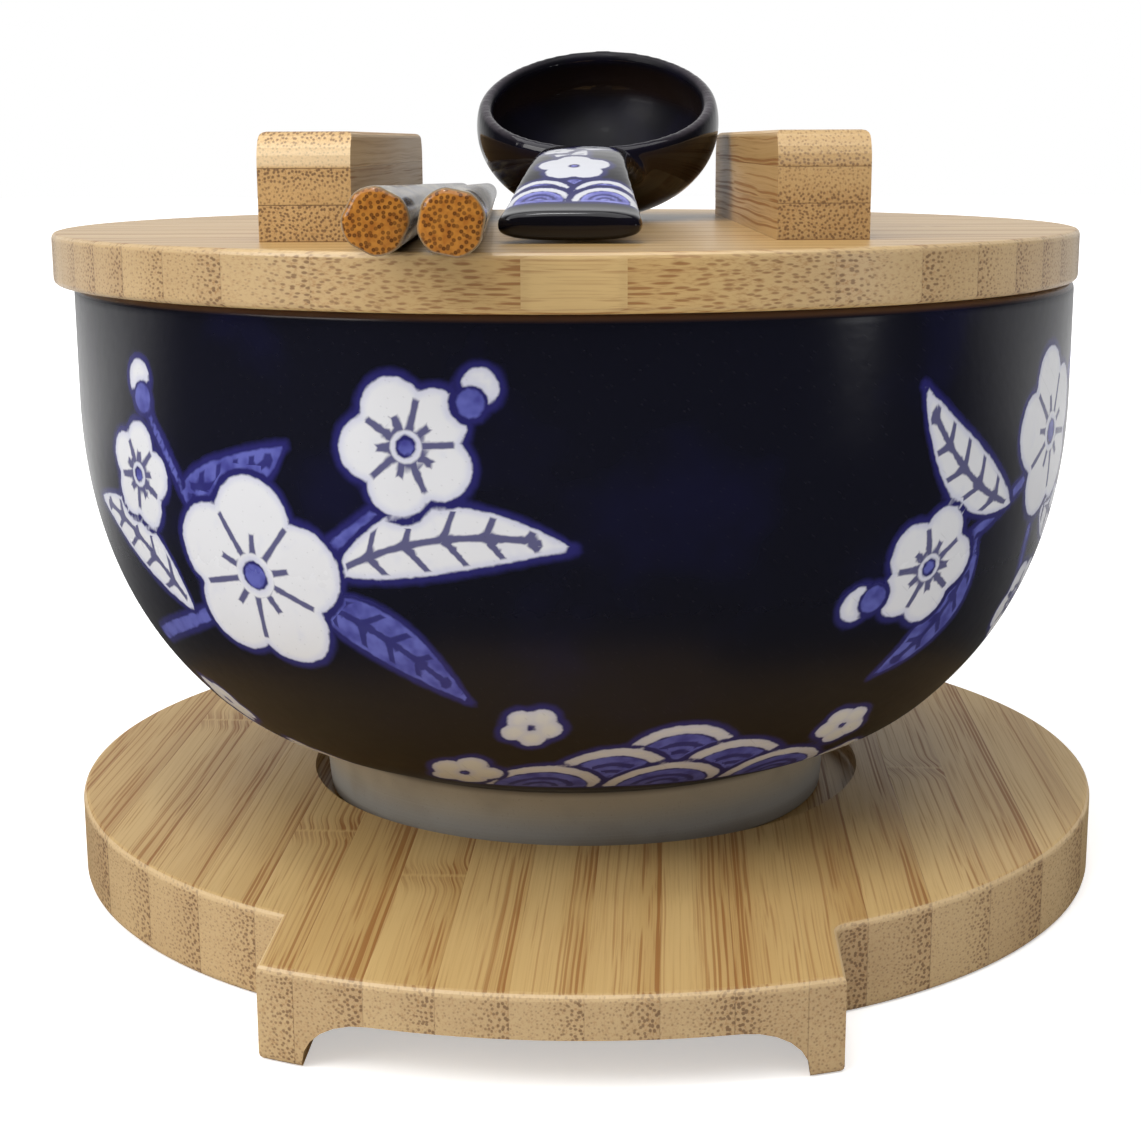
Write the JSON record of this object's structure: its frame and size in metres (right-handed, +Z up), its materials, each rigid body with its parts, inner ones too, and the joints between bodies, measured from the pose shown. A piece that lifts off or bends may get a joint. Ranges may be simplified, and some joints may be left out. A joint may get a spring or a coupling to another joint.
{
  "type": "donburi bowl with lid",
  "caption": "Deep glazed rice bowl on a bamboo tray with two tongues; its flat bamboo lid carries two handle blocks, a spoon and a pair of chopsticks.",
  "frame": {"origin": "on the table plane, under the middle of the tray's round board", "axes": "+Z up, -Y to the front (the side of the chopsticks' butts and the front tongue), +X to the right seen from the front"},
  "size_m": [0.1709, 0.2304, 0.1346],
  "materials": {
    "tray_bamboo": "glued bamboo staves, sanded and oiled, satin",
    "lid_bamboo": "glued bamboo staves, sanded and clear-coated, satin",
    "handle_bamboo": "pressed bamboo plies, end grain at the front, satin",
    "dowel_bamboo": "plain turned bamboo",
    "bowl_glaze": "near-black glossy glaze with white and cobalt painting, unglazed grey foot",
    "spoon_glaze": "near-black glossy glaze with a painted handle",
    "chopstick_lacquer": "grey-white patterned coat under clear lacquer, bare end grain at the butt"
  },
  "bodies": {
    "tray": {"tray_stave_01": "tray_bamboo", "tray_stave_02": "tray_bamboo", "tray_stave_03": "tray_bamboo", "tray_stave_04": "tray_bamboo", "tray_stave_05": "tray_bamboo", "tray_stave_06": "tray_bamboo", "tray_stave_07": "tray_bamboo", "tray_stave_08": "tray_bamboo", "tray_stave_09": "tray_bamboo", "tray_stave_10": "tray_bamboo", "tray_stave_11": "tray_bamboo", "tray_stave_12": "tray_bamboo", "tray_stave_13": "tray_bamboo", "tray_stave_14": "tray_bamboo", "tray_stave_15": "tray_bamboo", "tray_stave_16": "tray_bamboo", "tray_stave_17": "tray_bamboo", "tray_stave_18": "tray_bamboo", "tray_stave_19": "tray_bamboo"},
    "bowl": {"bowl": "bowl_glaze"},
    "lid": {"lid_stave_01": "lid_bamboo", "lid_stave_02": "lid_bamboo", "lid_stave_03": "lid_bamboo", "lid_stave_04": "lid_bamboo", "lid_stave_05": "lid_bamboo", "lid_stave_06": "lid_bamboo", "lid_stave_07": "lid_bamboo", "lid_stave_08": "lid_bamboo", "lid_stave_09": "lid_bamboo", "lid_stave_10": "lid_bamboo", "lid_stave_11": "lid_bamboo", "lid_stave_12": "lid_bamboo", "lid_stave_13": "lid_bamboo", "lid_stave_14": "lid_bamboo", "lid_stave_15": "lid_bamboo", "lid_stave_16": "lid_bamboo", "lid_stave_17": "lid_bamboo", "lid_stave_18": "lid_bamboo", "lid_stave_19": "lid_bamboo", "lid_stave_20": "lid_bamboo", "lid_stave_21": "lid_bamboo", "lid_stave_22": "lid_bamboo", "lid_stave_23": "lid_bamboo", "lid_stave_24": "lid_bamboo", "handle_left_bottom_ply": "handle_bamboo", "handle_left_middle_ply": "handle_bamboo", "handle_left_top_ply": "handle_bamboo", "handle_right_bottom_ply": "handle_bamboo", "handle_right_middle_ply": "handle_bamboo", "handle_right_top_ply": "handle_bamboo", "handle_dowels": "dowel_bamboo"},
    "spoon": {"spoon": "spoon_glaze"},
    "chopstick_left": {"chopstick_left": "chopstick_lacquer"},
    "chopstick_right": {"chopstick_right": "chopstick_lacquer"}
  },
  "joints": [
    {"name": "bowl_lift", "type": "slide", "parent": "tray", "child": "bowl", "axis": [0, 0, 1], "range_m": [0, 0.1]},
    {"name": "lid_lift", "type": "slide", "parent": "bowl", "child": "lid", "axis": [0, 0, 1], "range_m": [0, 0.12]},
    {"name": "spoon_lift", "type": "slide", "parent": "lid", "child": "spoon", "axis": [0, 0, 1], "range_m": [0, 0.1]},
    {"name": "chopstick_left_lift", "type": "slide", "parent": "lid", "child": "chopstick_left", "axis": [0, 0, 1], "range_m": [0, 0.1]},
    {"name": "chopstick_right_draw", "type": "slide", "parent": "lid", "child": "chopstick_right", "axis": [0.0715, -0.9974, 0], "range_m": [0, 0.24]}
  ]
}
